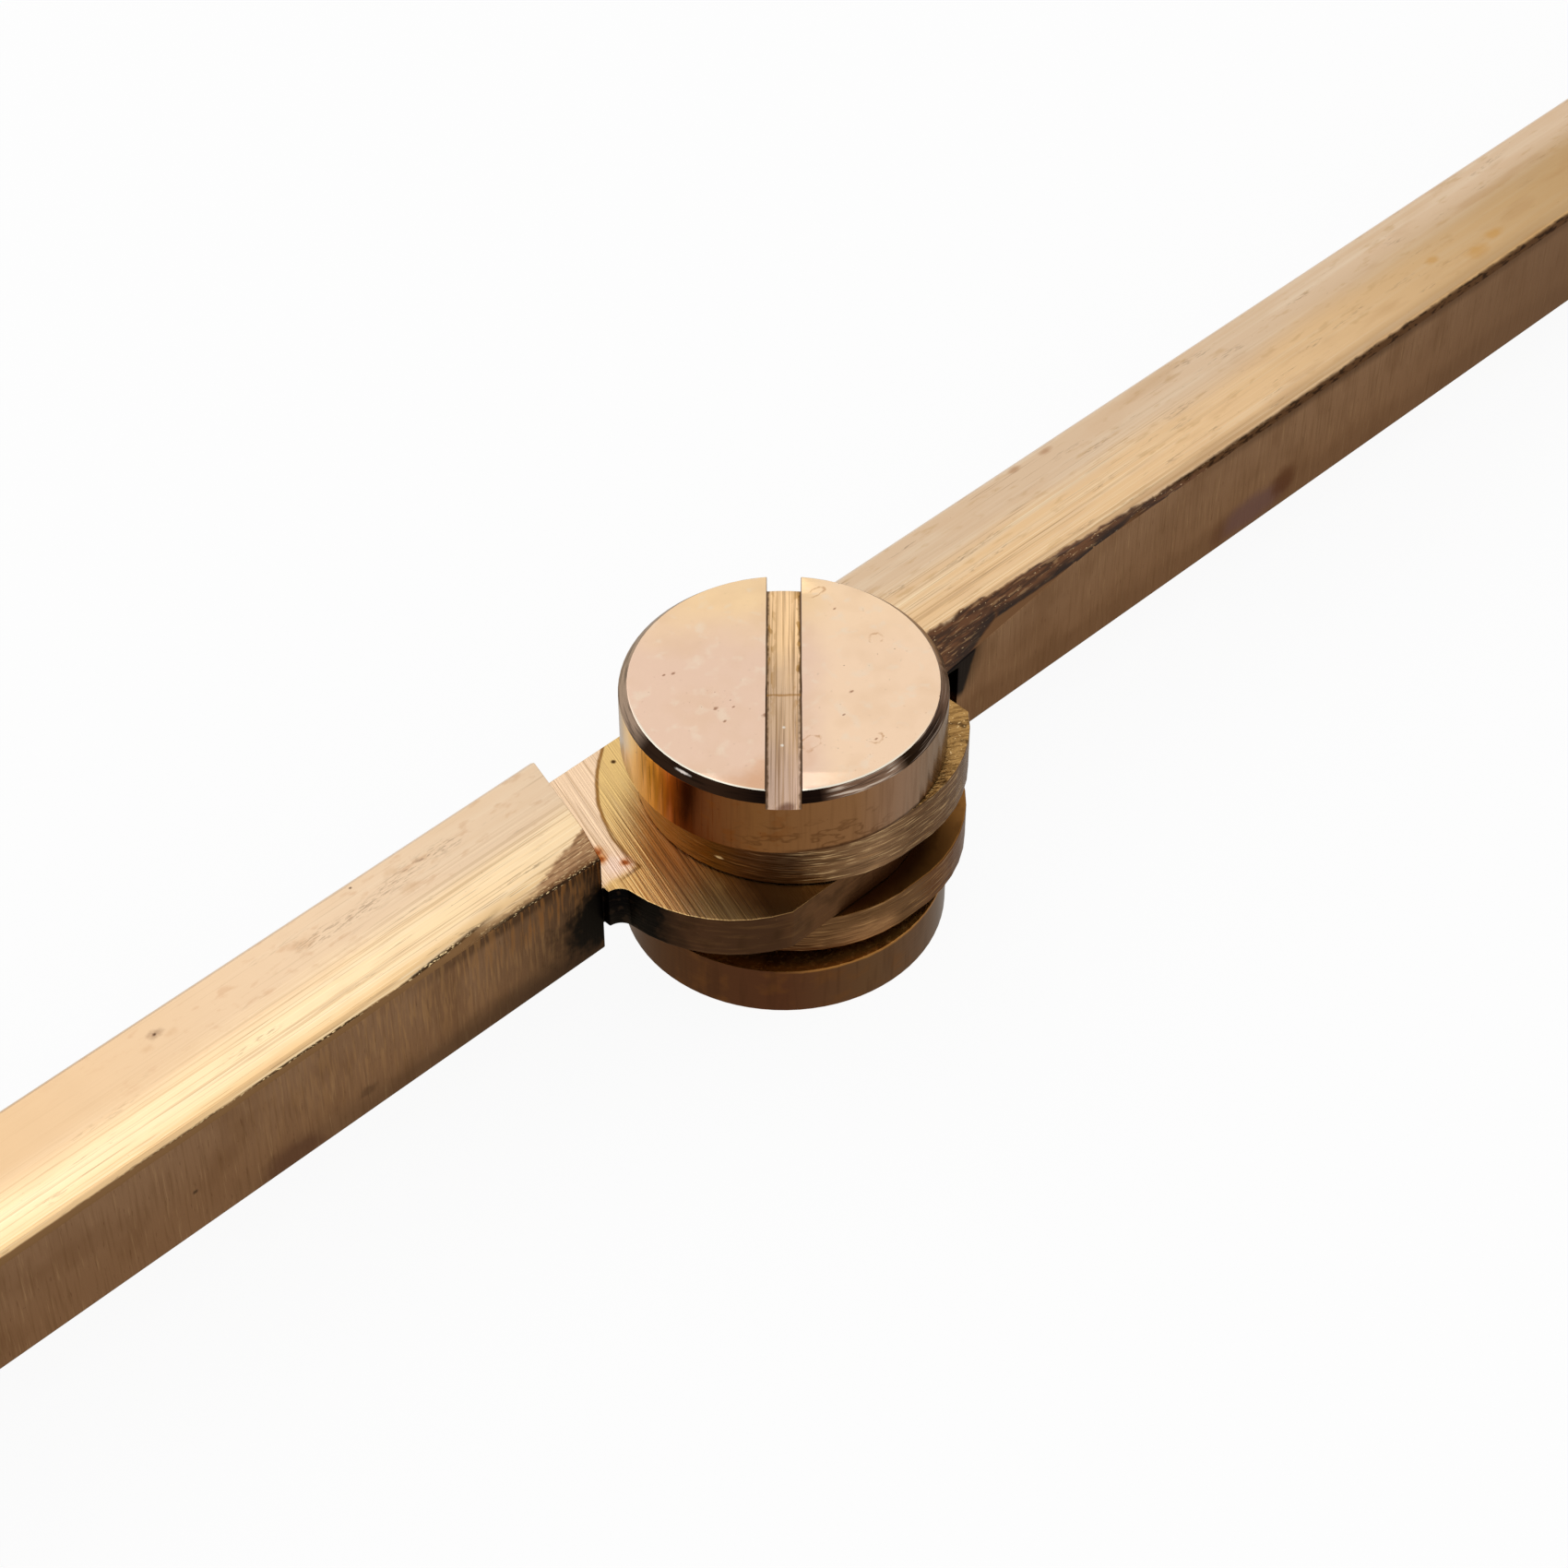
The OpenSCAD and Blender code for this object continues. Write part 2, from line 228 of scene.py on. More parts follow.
class Finish:
    """The nodes of one material, laid on in the piece's own millimetres.

    Brush and file lines finer than about 0.05 mm wouldn't show in the render, so they are drawn that wide.
    """

    def __init__(self, name, colour):
        self.material = bpy.data.materials.new(name)
        self.material.use_nodes = True
        self.tree = self.material.node_tree
        self.tree.nodes.clear()
        self.colour = linear(colour)
        self.height = None
        self.metal = 1.0
        own = self.node("TexCoord").outputs["Object"]
        self.mm = self.node("VectorMath", {0: own, 3: 1 / MM}, operation="SCALE").outputs[0]
        parts = self.node("SeparateXYZ", {0: self.mm})
        self.x, self.y, self.z = parts.outputs

    def node(self, kind, inputs=None, **settings):
        """Adds a node to this material."""
        return add_node(self.tree, kind, inputs, **settings)

    def turned(self, degrees):
        """The place on the piece, turned round the hinge's axis so that this direction is +X."""
        return self.node("VectorRotate", {0: self.mm, 3: math.radians(-degrees)},
                         rotation_type="Z_AXIS").outputs[0]

    def around(self):
        """Degrees round the hinge's axis, 0 where the photograph looks from."""
        parts = self.node("SeparateXYZ", {0: self.turned(FACING)})
        angle = self.node("Math", {0: parts.outputs[1], 1: parts.outputs[0]}, operation="ARCTAN2")
        return self.node("Math", {0: angle, 1: math.degrees(1)}, operation="MULTIPLY").outputs[0]

    def axis_distance(self):
        """Millimetres from the hinge's axis."""
        flat = self.node("CombineXYZ", {0: self.x, 1: self.y})
        return self.node("VectorMath", {0: flat}, operation="LENGTH").outputs[1]

    def grain(self, size, place=None, low=0.4, high=0.6, detail=2.0, shift=0.0):
        """Noise of that size in millimetres, a size for each direction, as a share from 0 to 1."""
        place = place or self.mm
        spread = self.node("Mapping", {0: place, 1: (shift,) * 3, 3: [1 / s for s in size]})
        cloud = self.node("TexNoise", {"Vector": spread, "Scale": 1.0, "Detail": detail})
        return self.node("MapRange", {0: cloud, 1: low, 2: high}).outputs[0]

    def edge(self, along, start, end, ragged=0.0, patch=0.5):
        """A share from 0 to 1 between two places along a direction, on a boundary ragged by noise."""
        if ragged:
            cloud = self.node("TexNoise", {"Vector": self.mm, "Scale": 1 / patch, "Detail": 4.0})
            drift = self.node("Math", {0: cloud, 1: 0.5}, operation="SUBTRACT")
            # Fourfold, because noise seldom strays far from its middle
            along = self.node("Math", {0: drift, 1: 4 * ragged, 2: along}, operation="MULTIPLY_ADD")
        return self.node("MapRange", {0: along, 1: start, 2: end},
                         interpolation_type="SMOOTHSTEP").outputs[0]

    def blot(self, centre, reach, soft, ragged=0.0, patch=0.5):
        """A share that is 1 inside a blot, reach being its half sizes along X, Y and Z."""
        away = self.node("VectorMath", {0: self.mm, 1: centre}, operation="SUBTRACT")
        scaled = self.node("VectorMath", {0: away, 1: reach}, operation="DIVIDE")
        distance = self.node("VectorMath", {0: scaled}, operation="LENGTH").outputs[1]
        return self.edge(distance, 1 + soft, 1 - soft, ragged, patch)

    def both(self, *shares):
        """Where all the shares hold."""
        share = shares[0]
        for other in shares[1:]:
            share = self.node("Math", {0: share, 1: other}, operation="MULTIPLY").outputs[0]
        return share

    def either(self, *shares):
        """Where one of the shares holds."""
        share = shares[0]
        for other in shares[1:]:
            share = self.node("Math", {0: share, 1: other}, operation="MAXIMUM").outputs[0]
        return share

    def slanted(self, along, slope, across):
        """One direction plus a slope times another."""
        return self.node("Math", {0: across, 1: slope, 2: along}, operation="MULTIPLY_ADD").outputs[0]

    def lay(self, share, colour, strength=1.0):
        """Lays a colour over what is there."""
        if strength != 1:
            share = self.both(share, strength)
        mixed = self.node("Mix", {0: share, 6: self.colour, 7: linear(colour)}, data_type="RGBA")
        self.colour = mixed.outputs[2]

    def crusted(self, share, strength):
        """Where dried polish or grime, which isn't metal, covers the metal."""
        share = self.both(share, strength)
        self.metal = self.node("Math", {0: share, 1: -1.0, 2: 1.0}, operation="MULTIPLY_ADD")
        self.metal = self.metal.outputs[0]

    def ramp(self, along, start, end, stops):
        """Colours at places along a direction, from start to end."""
        share = self.node("MapRange", {0: along, 1: start, 2: end})
        made = self.node("ValToRGB", {0: share})
        band = made.color_ramp
        for place, code in stops[2:]:
            band.elements.new(0.5)
        for element, (place, code) in zip(band.elements, sorted(stops)):
            element.position = (place - start) / (end - start)
            element.color = linear(code)
        return made.outputs[0]

    def raised(self, share, depth):
        """Adds to the surface's height, depth in millimetres."""
        step = self.node("Math", {0: share, 1: depth}, operation="MULTIPLY").outputs[0]
        if self.height is None:
            self.height = step
        else:
            self.height = self.node("Math", {0: self.height, 1: step}).outputs[0]

    def done(self, roughness, edge_tint="#FFFFFF"):
        """Ends the material with a shader of this roughness, and this tint at a glancing look."""
        shader = self.node("BsdfPrincipled", {"Base Color": self.colour, "Metallic": self.metal,
                                              "Roughness": roughness,
                                              "Specular Tint": linear(edge_tint)})
        if self.height is not None:
            relief = self.node("Bump", {"Height": self.height, "Distance": MM})
            self.tree.links.new(relief.outputs[0], shader.inputs["Normal"])
        self.node("OutputMaterial", {0: shader})
        return self.material


def leg_top(name, colours, inner, back_from, lines_to):
    """Drawn brass bar, filed and brushed lengthwise: cream, fine long lines, and painted shading across
    the width as on a crowned top, pinker at the back and golden at the front.
    """
    front, middle, back = colours
    f = Finish(name, middle)
    # Painted shading of a crowned top: pinker at the back, golden at the front.
    f.lay(f.edge(f.y, inner + back_from, inner + back_from + 1.6, 0.35, 6.0), back)
    f.lay(f.edge(f.y, inner + 1.1, inner + 0.4, 0.10, 4.0), front)
    f.lay(f.grain((16, 0.30, 0.30), low=0.50, high=0.75), "#EBDDC4", 0.28)
    f.lay(f.grain((2.5, 0.8, 0.8), low=0.52, high=0.72, shift=15.0), "#CFAA84", 0.22)
    f.lay(f.grain((9, 1.4, 1.4), low=0.56, high=0.80, shift=3.0), "#BD955C", 0.18)
    crisp = f.edge(f.node("Math", {0: f.x}, operation="ABSOLUTE").outputs[0], lines_to, 8)
    filed = f.both(f.edge(f.y, inner + 4.6, inner + 2.8, 0.4, 3.0), crisp)
    f.lay(f.both(f.grain((18, 0.10, 0.10), low=0.57, high=0.63, detail=1.0, shift=7.0), filed),
          "#9A7448", 0.34)
    f.lay(f.both(f.grain((14, 0.07, 0.07), low=0.60, high=0.66, detail=1.0, shift=17.0), filed),
          "#FFF0CC", 0.34)
    f.lay(f.both(f.grain((5, 0.07, 0.07), low=0.66, high=0.70, detail=1.0, shift=21.0), crisp),
          "#8A6A4C", 0.45)
    scuffs = f.both(f.grain((4.0, 0.5, 0.5), low=0.62, high=0.68, shift=1.0),
                    f.grain((0.5, 0.05, 0.05), low=0.52, high=0.60, shift=5.0))
    f.lay(scuffs, "#6E5844", 0.40)
    f.lay(f.grain((0.22, 0.12, 0.12), low=0.73, high=0.78, detail=3.0, shift=5.0), "#6F4C30", 0.55)
    f.raised(f.both(f.grain((9, 0.11, 0.11), low=0.3, high=0.7), crisp), 0.003)
    return f


def crease_shade_and_glints(f, inner, near):
    """The bar's inner upper edge: a dark hairline with painted glints for gilt dashes, and painted shade
    in brown below it on the rounded edge.
    """
    reach = f.node("Math", {0: f.x}, operation="ABSOLUTE")
    drop = f.node("MapRange", {0: reach, 1: TAPER_FROM, 2: LEG_END, 3: 0.0, 4: LEG_TOP - TIP_TOP})
    height = f.node("Math", {0: f.z, 1: drop.outputs[0]}).outputs[0]
    crease = LEG_TOP - 0.12
    here = f.both(f.edge(f.y, inner + 1.2, inner + 0.8), f.edge(reach.outputs[0], near, near + 2))
    # Painted shade: brown on the rounded edge below the crease.
    f.lay(f.both(f.edge(height, crease + 0.02, crease - 0.03, 0.006, 0.6), here), "#7A5A3A")
    line = f.both(f.edge(height, crease - 0.05, crease - 0.02, 0.006, 0.3),
                  f.edge(height, crease + 0.03, crease, 0.006, 0.3), here)
    line = f.both(line, f.edge(reach.outputs[0], 36, 22))
    f.lay(f.both(line, f.grain((2.4, 0.5, 0.5), low=0.30, high=0.46, shift=2.0)), "#2A1A0E", 0.9)
    # Painted glints: gilt dashes along the hairline.
    f.lay(f.both(line, f.grain((0.18, 0.05, 0.05), low=0.57, high=0.61, shift=8.0)), "#FFDFA6", 0.8)


def crust(f, share):
    """Filed and left: dark brown grime in fine strokes, with a few tiny bright grains."""
    f.crusted(share, 0.35)
    f.lay(share, "#633E22")
    f.lay(f.both(share, f.grain((1.6, 0.14, 0.2), low=0.46, high=0.58, shift=4.0)), "#2C190B", 0.7)
    f.lay(f.both(share, f.grain((1.0, 0.08, 0.12), low=0.58, high=0.66, shift=9.0)), "#A07C54", 0.6)
    f.lay(f.both(share, f.grain((0.16, 0.05, 0.08), low=0.69, high=0.73, shift=6.0)), "#E8C898", 0.8)
    f.raised(f.both(share, f.grain((0.8, 0.10, 0.15), low=0.3, high=0.7)), 0.015)


def fork_leg_top():
    """The duller of the two upper faces, its colours painted darker as shade from how it lay to the light,
    with brown grime on the flat filed beside the hinge.
    """
    f = leg_top("file-brushed drawn brass with painted shading, forked leg", ("#C4A076", "#E3BE90", "#D6B999"),
                FORK_INNER, 2.6, 44)
    # Painted shade: the front of the top darker further from the hinge.
    f.lay(f.both(f.edge(f.x, 24, 56, 0.5, 8.0), f.edge(f.y, 4.4, 2.6)), "#AE8A58", 0.75)
    f.lay(f.both(f.grain((4, 0.9, 0.9), low=0.60, high=0.72, shift=11.0), f.edge(f.x, 20, 30)),
          "#AE8250", 0.25)
    f.lay(f.grain((1.2, 0.30, 0.30), low=0.60, high=0.72, shift=31.0), "#B8925E", 0.35)
    # Two brown spots at the back, and three of golden dried polish near the inner edge
    for place in ((20.4, 4.91), (18.58, 4.99)):
        f.lay(f.blot((*place, LEG_TOP), (0.30, 0.14, 1), 0.7, 0.2, 0.4), "#A0704A", 0.55)
    for place, size in (((46.4, 1.1), 0.5), ((44.8, 0.8), 0.6), ((42.8, 1.8), 0.35)):
        f.lay(f.blot((*place, LEG_TOP), (size, size / 2, 1), 0.7, 0.3, 0.5), "#C08A34", 0.5)
    crease_shade_and_glints(f, FORK_INNER, 18)
    # Along the inner rounded edge, dark brown: partly grime, partly painted shade.
    grime_and_edge_shade = f.both(f.edge(f.z, LEG_TOP - 0.02, LEG_TOP - 0.12, 0.02, 0.6), f.edge(f.x, 17, 20),
                    f.edge(f.x, 72, 60), f.edge(f.y, 1.0, 0.6))
    f.lay(grime_and_edge_shade, "#4A301C", 0.85)
    f.lay(f.both(grime_and_edge_shade, f.grain((0.5, 0.12, 0.12), low=0.50, high=0.62, shift=3.0)), "#22140A", 0.8)
    # Grime on the filed flat, between two ragged borders; the flat nearest the hinge is painted the sides'
    # brown as shade, and the lower border is a black line of painted shade
    upper = f.slanted(f.y, 0.062, f.x)
    lower = f.slanted(f.z, -0.08, f.x)
    steep = f.slanted(f.z, -0.40, f.x)
    flat = f.both(f.edge(f.x, 30, 25, 0.6, 1.0), f.edge(upper, 1.16, 0.98, 0.10, 0.6))
    f.lay(f.both(flat, f.edge(f.x, 21, 19)), "#6E4E34")
    outer, inner = f.edge(f.x, 11.7, 12.2), f.edge(f.x, 12.3, 11.8)
    grimy = f.both(flat, f.either(f.both(f.edge(lower, 6.70, 6.78, 0.02, 0.8), outer),
                                  f.both(f.edge(steep, 2.90, 3.05, 0.03, 0.8), inner),
                                  f.edge(f.x, 20, 21)))
    crust(f, grimy)
    hem = f.both(grimy, f.either(f.both(f.edge(lower, 7.05, 6.80, 0.03, 0.8), outer),
                                 f.both(f.edge(steep, 3.55, 3.10, 0.03, 0.8), inner)),
                 f.edge(f.x, 24, 18))
    f.lay(hem, "#1C1007", 0.85)
    return f.done(0.34)


def tongue_leg_top():
    """Bright cream, with faint stains at the back and a rough triangle filed down to the shoulder."""
    f = leg_top("file-brushed drawn brass with painted shading, tongue leg", ("#E2BE8C", "#F2D4A8", "#DABD9E"),
                TONGUE_INNER, 1.9, 100)
    f.lay(f.both(f.edge(f.x, -12, -34, 0.5, 8.0), f.edge(f.y, 2.0, 4.0)), "#CFAD84", 0.9)
    f.lay(f.both(f.edge(f.y, 2.6, 4.2, 0.2, 4.0), f.edge(f.x, -38, -16, 0.5, 5.0)), "#DFC4A4", 0.5)
    # A ragged pit with a halo, a smaller pit, and faint stains round them
    pit = (-26.9, 5.12, LEG_TOP)
    f.lay(f.blot(pit, (0.26, 0.16, 1), 0.8, 0.5, 0.2), "#8A6A50", 0.6)
    f.lay(f.blot(pit, (0.08, 0.06, 1), 0.7, 0.5, 0.1), "#4A3020", 0.9)
    f.lay(f.blot((-17.15, 5.80, LEG_TOP), (0.06, 0.05, 1), 0.6), "#4A3020", 0.8)
    stains = (((-27.5, 4.74), 0.22), ((-26.4, 4.76), 0.22), ((-15.5, 4.24), 0.35), ((-20.2, 4.83), 0.4),
              ((-15.5, 5.36), 0.30))
    for place, size in stains:
        f.lay(f.blot((*place, LEG_TOP), (size, size * 0.6, 1), 0.8, 0.5, 0.25), "#C09870", 0.35)
    mottled = f.both(f.edge(f.y, 2.6, 4.0, 0.2, 3.0), f.edge(f.x, -34, -26))
    f.lay(f.both(f.grain((0.9, 0.4, 0.4), low=0.58, high=0.70, detail=4.0, shift=41.0), mottled),
          "#C49C78", 0.45)
    # Short dark marks in a row
    for place in ((-13.5, 5.0), (-15.5, 4.9), (-17.5, 4.6), (-19.5, 4.7)):
        smudge = f.blot((*place, LEG_TOP), (1.1, 0.30, 1), 0.7, 0.3, 0.5)
        f.lay(f.both(smudge, f.grain((0.35, 0.05, 0.3), low=0.52, high=0.60, shift=2.0)), "#7A604C", 0.42)
    # The filed triangle, and at its foot a dark line of painted shade in the crease, with painted glints
    # for gilt dashes
    slope = f.slanted(f.y, -0.27, f.x)
    flat = f.both(f.edge(slope, 4.45, 4.25, 0.10, 0.35), f.edge(f.x, -12.6, -11.6, 0.4, 0.5))
    f.lay(flat, "#A8825E")
    f.lay(f.both(flat, f.grain((1.6, 0.10, 0.2), low=0.50, high=0.6)), "#6E4E34", 0.6)
    f.lay(f.both(flat, f.grain((0.5, 0.05, 0.15), low=0.60, high=0.66, shift=3.0)), "#E8C898", 0.7)
    crease_shade_and_glints(f, TONGUE_INNER, 13.5)
    drop = f.node("MapRange", {0: f.x, 1: TRIANGLE_END, 2: -SHOULDER, 3: 0.0, 4: TRIANGLE_DEPTH})
    drop = drop.outputs[0]
    lift = f.node("Math", {0: f.z, 1: drop}).outputs[0]
    filed = f.edge(f.x, -16, -13.5)
    # Painted shade in the crease, then painted glints for gilt dashes.
    f.lay(f.both(f.edge(lift, LEG_TOP + 0.11, LEG_TOP + 0.07, 0.015, 0.4), filed), "#6A4628", 0.7)
    f.lay(f.both(f.edge(lift, LEG_TOP + 0.06, LEG_TOP + 0.02, 0.010, 0.3), filed), "#20140B", 0.9)
    f.lay(f.both(f.edge(lift, LEG_TOP + 0.10, LEG_TOP + 0.05), filed,
                 f.grain((0.18, 0.05, 0.05), low=0.59, high=0.64, shift=8.0)), "#FFDFA6", 0.6)
    f.raised(f.both(flat, f.grain((0.8, 0.12, 0.2), low=0.3, high=0.7)), 0.02)
    return f.done(0.34)


def leg_side(name):
    """The same bar's sides: brown, partly tarnish and partly painted dark reflection, lighter towards the
    top as painted light, with upright streaks from cleaning.
    """
    f = Finish(name, "#7C5A3D")
    # Painted light: lighter towards the top.
    f.lay(f.edge(f.z, 4.0, 8.4, 0.3, 3.0), "#86664A", 0.8)
    f.lay(f.grain((2.2, 2.2, 2.5), low=0.45, high=0.7, shift=2.0), "#68472C", 0.5)
    f.lay(f.grain((0.12, 0.12, 2.6), low=0.5, high=0.7), "#5C3E22", 0.35)
    f.lay(f.grain((0.08, 0.08, 1.6), low=0.60, high=0.75, shift=9.0), "#A5845C", 0.30)
    f.lay(f.grain((0.10, 0.10, 0.7), low=0.64, high=0.72, shift=6.0), "#4C2E18", 0.45)
    f.lay(f.grain((0.16, 0.16, 0.12), low=0.74, high=0.80, shift=8.0), "#2E1C10", 0.5)
    f.raised(f.grain((0.12, 0.12, 2.0), low=0.3, high=0.7), 0.003)
    return f


def fork_leg_side():
    """Brown, with a black streak under the filed flat by the lugs, partly soot and partly painted shade,
    and reddish stains at the lower edge.
    """
    f = leg_side("tarnished drawn brass with painted shade, forked leg")
    near = f.edge(f.y, 2.0, 1.0)
    f.lay(f.both(f.edge(f.z, 5.0, 4.0, 0.3, 1.5), near), "#5C3C22", 0.35)
    slope = f.slanted(f.x, -0.35, f.z)
    # Black streak under the filed flat by the lugs: partly soot, partly painted shade.
    f.lay(f.both(f.edge(slope, 8.9, 7.9, 0.08, 0.8), f.edge(f.z, 4.6, 5.8), near), "#3A2818", 0.6)
    f.lay(f.both(f.edge(slope, 8.15, 7.92, 0.05, 0.5), f.edge(f.z, 4.8, 5.3), near), "#0F0F12", 0.95)
    f.lay(f.blot((28.2, FORK_INNER, 3.95), (2.0, 1.0, 0.75), 0.5, 0.15, 0.8), "#644640", 0.75)
    f.lay(f.blot((30.3, FORK_INNER, 4.30), (0.75, 1.0, 0.75), 0.6, 0.2, 0.5), "#522C14", 0.8)
    f.lay(f.blot((25.9, FORK_INNER, 3.80), (0.45, 1.0, 0.7), 0.7, 0.2, 0.5), "#5A361C", 0.5)
    f.lay(f.both(f.edge(f.z, 7.7, 8.25, 0.05, 1.0), f.edge(f.x, 22, 30), near), "#4A3220", 0.7)
    f.lay(f.both(f.edge(f.x, 34, 50), f.edge(f.y, 2.0, 1.0)), "#6C4F38", 0.5)
    return f.done(0.42, TARNISHED_EDGE)


def tongue_leg_side():
    """Brown, darker and streaked towards the hinge, black in the corner at the shoulder, partly soot and
    partly painted shade.
    """
    f = leg_side("tarnished drawn brass with painted shade, tongue leg")
    near = f.edge(f.y, 2.0, 1.0)
    f.lay(f.both(f.edge(f.x, -16, -10, 0.5, 1.5), near), "#3F2A1A", 0.75)
    f.lay(f.both(f.edge(f.x, -30, -12), f.edge(f.z, 5.0, 3.6, 0.3, 1.0), near), "#2E1E13", 0.6)
    f.lay(f.both(f.edge(f.z, 7.5, 8.0, 0.05, 0.6), f.edge(f.x, -20, -14), near), "#3A2617", 0.7)
    streaks = f.both(f.grain((0.13, 0.13, 1.4), low=0.48, high=0.62, shift=11.0), near)
    f.lay(f.both(streaks, f.edge(f.x, -30, -18), f.edge(f.z, 3.6, 6.4)), "#A47C4E", 0.35)
    f.lay(f.both(streaks, f.edge(f.x, -17, -12.5), f.edge(f.z, 5.8, 7.0)), "#7E4E22", 0.55)
    f.lay(f.blot((-24.6, TONGUE_INNER, 3.6), (1.3, 1.0, 0.75), 0.5, 0.25, 0.7), "#523424", 0.65)
    f.lay(f.blot((-21.0, TONGUE_INNER, 4.4), (0.35, 1.0, 0.25), 0.6, 0.4, 0.3), "#4A3220", 0.5)
    f.lay(f.blot((-29.0, TONGUE_INNER, 5.36), (0.10, 1.0, 0.09), 0.6, 0.3, 0.2), "#2A1A10", 0.7)
    # Black in the corner at the shoulder: partly soot, partly painted shade.
    f.lay(f.blot((-9.3, TONGUE_INNER, 5.2), (2.1, 1.6, 1.7), 0.4, 0.35, 0.5), "#1C130D", 0.75)
    f.lay(f.blot((-9.1, TONGUE_INNER, 5.15), (1.7, 1.6, 1.55), 0.22, 0.26, 0.35), "#070606")
    return f.done(0.42, TARNISHED_EDGE)


def tongue_top():
    """Filed flat by hand across the leg: fine strokes along the shoulder, stained inside a ring, with
    painted light lifting it towards the hinge and painted shade at the front where the lug and head shade
    it.
    """
    f = Finish("cross-filed stained brass with painted light and shade", "#E6C6A4")
    across = f.turned(90 - 17)
    distance = f.axis_distance()
    inside = f.either(f.edge(distance, 7.50, 7.30, 0.06, 1.2), f.edge(f.y, 0.75, 0.35, 0.05, 0.5))
    f.lay(inside, "#D8B474")
    # Painted light: lighter towards the front and nearer the hinge, lifting the shade that the upper lug
    # and head cast.
    f.lay(f.both(inside, f.edge(f.y, 4.5, 2.5, 0.5, 2.0)), "#E6BE7E", 0.8)
    f.lay(f.both(f.edge(distance, 7.0, 5.8, 0.2, 1.5), f.edge(f.y, 3.0, -1.0, 0.5, 2.0)), "#FFDC98", 0.95)
    shade_line = f.slanted(f.x, -0.21, f.y)
    f.crusted(f.both(inside, f.edge(f.y, 1.5, -2.5, 0.4, 2.0), f.edge(shade_line, -4.7, -5.8, 0.2, 1.0)), 0.12)
    # Painted shade at the front beside the hinge, past a slanted line, where the lug and head shade the
    # tongue.
    f.lay(f.both(f.edge(shade_line, -5.2, -4.2, 0.2, 1.0), f.edge(f.y, -0.8, -2.0)), "#6E4A26", 0.72)
    ring = f.both(f.edge(distance, 7.30, 7.38, 0.06, 1.2), f.edge(distance, 7.54, 7.44, 0.06, 1.2),
                  f.edge(f.y, 0.25, 0.5))
    f.lay(ring, "#855818", 0.9)
    foot = f.both(f.edge(f.y, 0.28, 0.36, 0.03, 0.5), f.edge(f.y, 0.52, 0.42, 0.03, 0.5),
                  f.edge(distance, 8.7, 7.9, 0.1, 0.5), f.edge(distance, 7.35, 7.45))
    f.lay(foot, "#7E5A1C", 0.8)
    deep = f.both(inside, f.edge(f.y, 4.8, 2.2, 0.4, 2.0),
                  f.either(f.edge(shade_line, -4.3, -5.1, 0.2, 1.0), f.edge(f.y, -1.6, -0.6)))
    f.lay(f.both(deep, f.grain((8, 0.07, 0.4), across, low=0.52, high=0.60, detail=1.0)), "#946A3A", 0.50)
    f.lay(f.both(deep, f.grain((9, 0.05, 0.4), across, low=0.57, high=0.63, detail=1.0, shift=4.0)),
          "#5E3E20", 0.50)
    f.lay(f.both(deep, f.grain((7, 0.05, 0.4), across, low=0.60, high=0.66, detail=1.0, shift=9.0)),
          "#F6D8A0", 0.55)
    f.lay(f.grain((6, 0.06, 0.4), across, low=0.60, high=0.66, detail=1.0, shift=13.0), "#A8845C", 0.45)
    f.lay(f.grain((5, 0.05, 0.4), across, low=0.64, high=0.70, detail=1.0, shift=23.0), "#6E5034", 0.4)
    f.lay(f.blot((-7.95, 1.1, TONGUE_TOP), (0.5, 0.5, 1), 0.7, 0.3, 0.5), "#F2D6C8", 0.6)
    for place, size in (((-8.12, 2.10), 0.22), ((-8.2, 1.75), 0.14), ((-7.63, 0.96), 0.12)):
        f.lay(f.blot((*place, TONGUE_TOP), (size * 1.6, size * 1.6, 1), 0.8, 0.4, 0.3), "#C07830", 0.8)
        f.lay(f.blot((*place, TONGUE_TOP), (size, size, 1), 0.6, 0.4, 0.2), "#8C3E08", 0.9)
    f.lay(f.blot((-4.2, 5.37, TONGUE_TOP), (0.10, 0.10, 1), 0.5), "#4A3014")
    f.raised(f.grain((8, 0.07, 0.4), across, low=0.3, high=0.7, shift=4.0), 0.006)
    return f.done(0.30)


def tongue_wall():
    """Filed and never polished: dark brown, partly its own colour and partly painted shade, darker where
    the upper lug shades it, and black in the corner, partly polish residue and partly painted shade.
    """
    f = Finish("dark filed brass with painted shade", "#4A301E")
    around = f.around()
    # Painted shade round it from the camera's side: darker where the upper lug shades the wall, lighter
    # beyond.
    f.lay(f.edge(around, -30, -14, 3, 2.0), "#402A1A", 0.6)
    f.lay(f.either(f.edge(around, -2, 10, 3, 2.0), f.edge(around, -95, -130)), "#5C3E26")
    f.lay(f.grain((2.5, 2.5, 0.15), low=0.5, high=0.7), "#70502F", 0.30)
    f.lay(f.grain((0.8, 0.8, 0.8), low=0.5, high=0.7, shift=2.0), "#33200F", 0.5)
    f.lay(f.grain((0.10, 0.10, 0.08), low=0.72, high=0.78, shift=5.0), "#A88058", 0.35)
    # Black in the corner: partly polish residue, partly painted shade.
    corner = f.edge(around, -115, -95, 5, 1.2)
    f.lay(f.both(f.edge(around, -20, -33, 5, 1.2), corner), "#1C130D", 0.75)
    f.lay(f.both(f.edge(around, -30, -36, 4, 0.5), corner), "#070606")
    f.lay(f.both(f.edge(around, -38, -44, 3, 0.5), f.grain((0.4, 0.4, 0.3), low=0.52, high=0.62)),
          "#2C1F15", 0.5)
    f.raised(f.grain((2.5, 2.5, 0.12), low=0.3, high=0.7), 0.006)
    return f.done(0.42, TARNISHED_EDGE)


